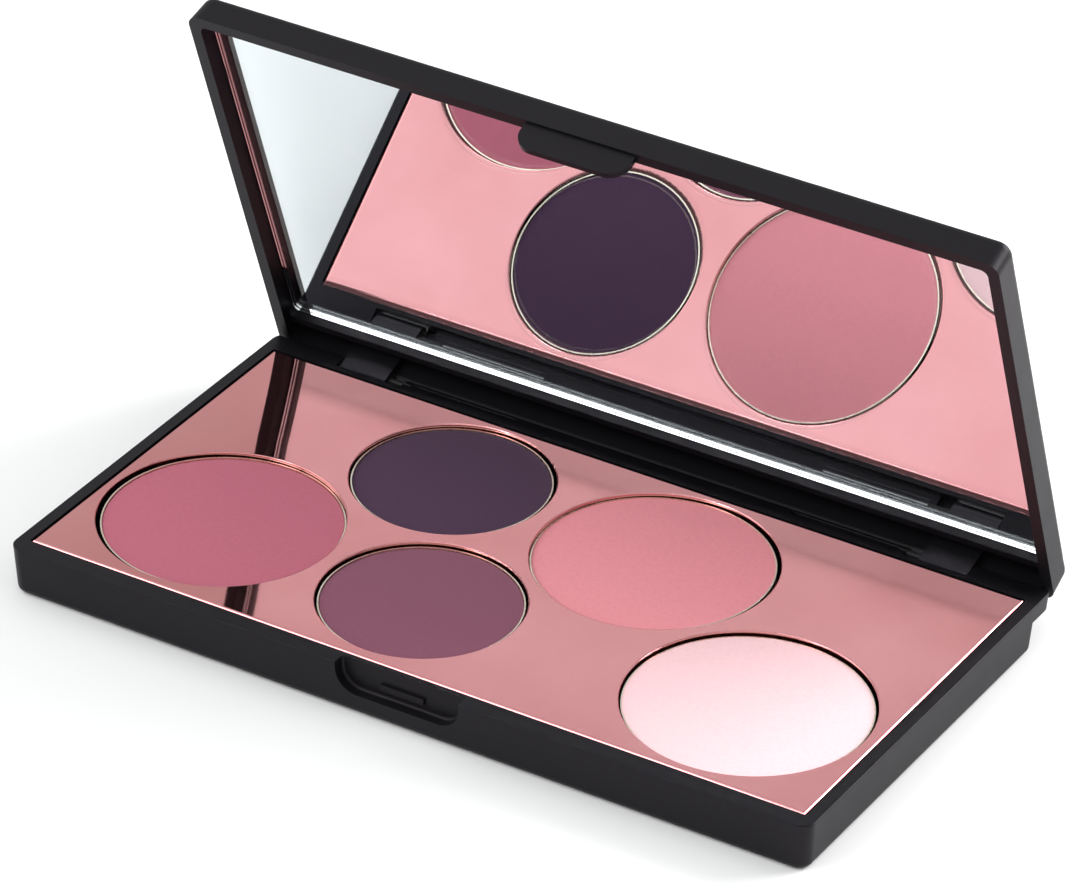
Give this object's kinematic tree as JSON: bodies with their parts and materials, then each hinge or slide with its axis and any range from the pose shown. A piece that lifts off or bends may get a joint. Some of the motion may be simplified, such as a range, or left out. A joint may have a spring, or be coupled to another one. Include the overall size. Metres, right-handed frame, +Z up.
{
  "type": "eyeshadow palette",
  "caption": "Shallow black hinged make-up case, drawn open: round pans of pressed eyeshadow in a rose-gold plate in the base, full-width mirror in the lid.",
  "frame": {"origin": "centre of the flat underside of the base, on the table", "axes": "+X along the case's width to the user's right, +Y from the front edge towards the hinge, +Z up"},
  "size_m": [0.135, 0.0785, 0.0761],
  "materials": {
    "case_plastic": "soft-touch satin black",
    "metallised_plate": "polished rose-gold metallised",
    "label_paper": "matt, blank",
    "pin_steel": "blackened",
    "mirror_glass": "clear",
    "mirror_silvering": "silvered, painted back",
    "adhesive": "double-sided foam and glue",
    "pan_metal": "champagne satin",
    "powder_mauve": "matt pressed powder",
    "powder_plum": "matt pressed powder",
    "powder_dark_purple": "matt pressed powder",
    "powder_rose": "matt pressed powder",
    "powder_pale_pink": "matt pressed powder"
  },
  "bodies": {
    "base": {"base_shell": "case_plastic", "insert_plate": "metallised_plate", "underside_label": "label_paper", "hinge_pin_left": "pin_steel", "hinge_pin_right": "pin_steel", "pan_1": "pan_metal", "powder_1": "powder_mauve", "pan_pad_1": "adhesive", "pan_2": "pan_metal", "powder_2": "powder_plum", "pan_pad_2": "adhesive", "pan_3": "pan_metal", "powder_3": "powder_dark_purple", "pan_pad_3": "adhesive", "pan_4": "pan_metal", "powder_4": "powder_rose", "pan_pad_4": "adhesive", "pan_5": "pan_metal", "powder_5": "powder_pale_pink", "pan_pad_5": "adhesive"},
    "lid": {"lid_shell": "case_plastic", "mirror_glass": "mirror_glass", "mirror_silvering": "mirror_silvering", "mirror_tape": "adhesive"}
  },
  "joints": [
    {"name": "lid_hinge", "type": "hinge", "parent": "base", "child": "lid", "pos_m": [0, 0.03545, 0.0067], "axis": [-1, 0, 0], "range_deg": [-69.4, 110]}
  ]
}
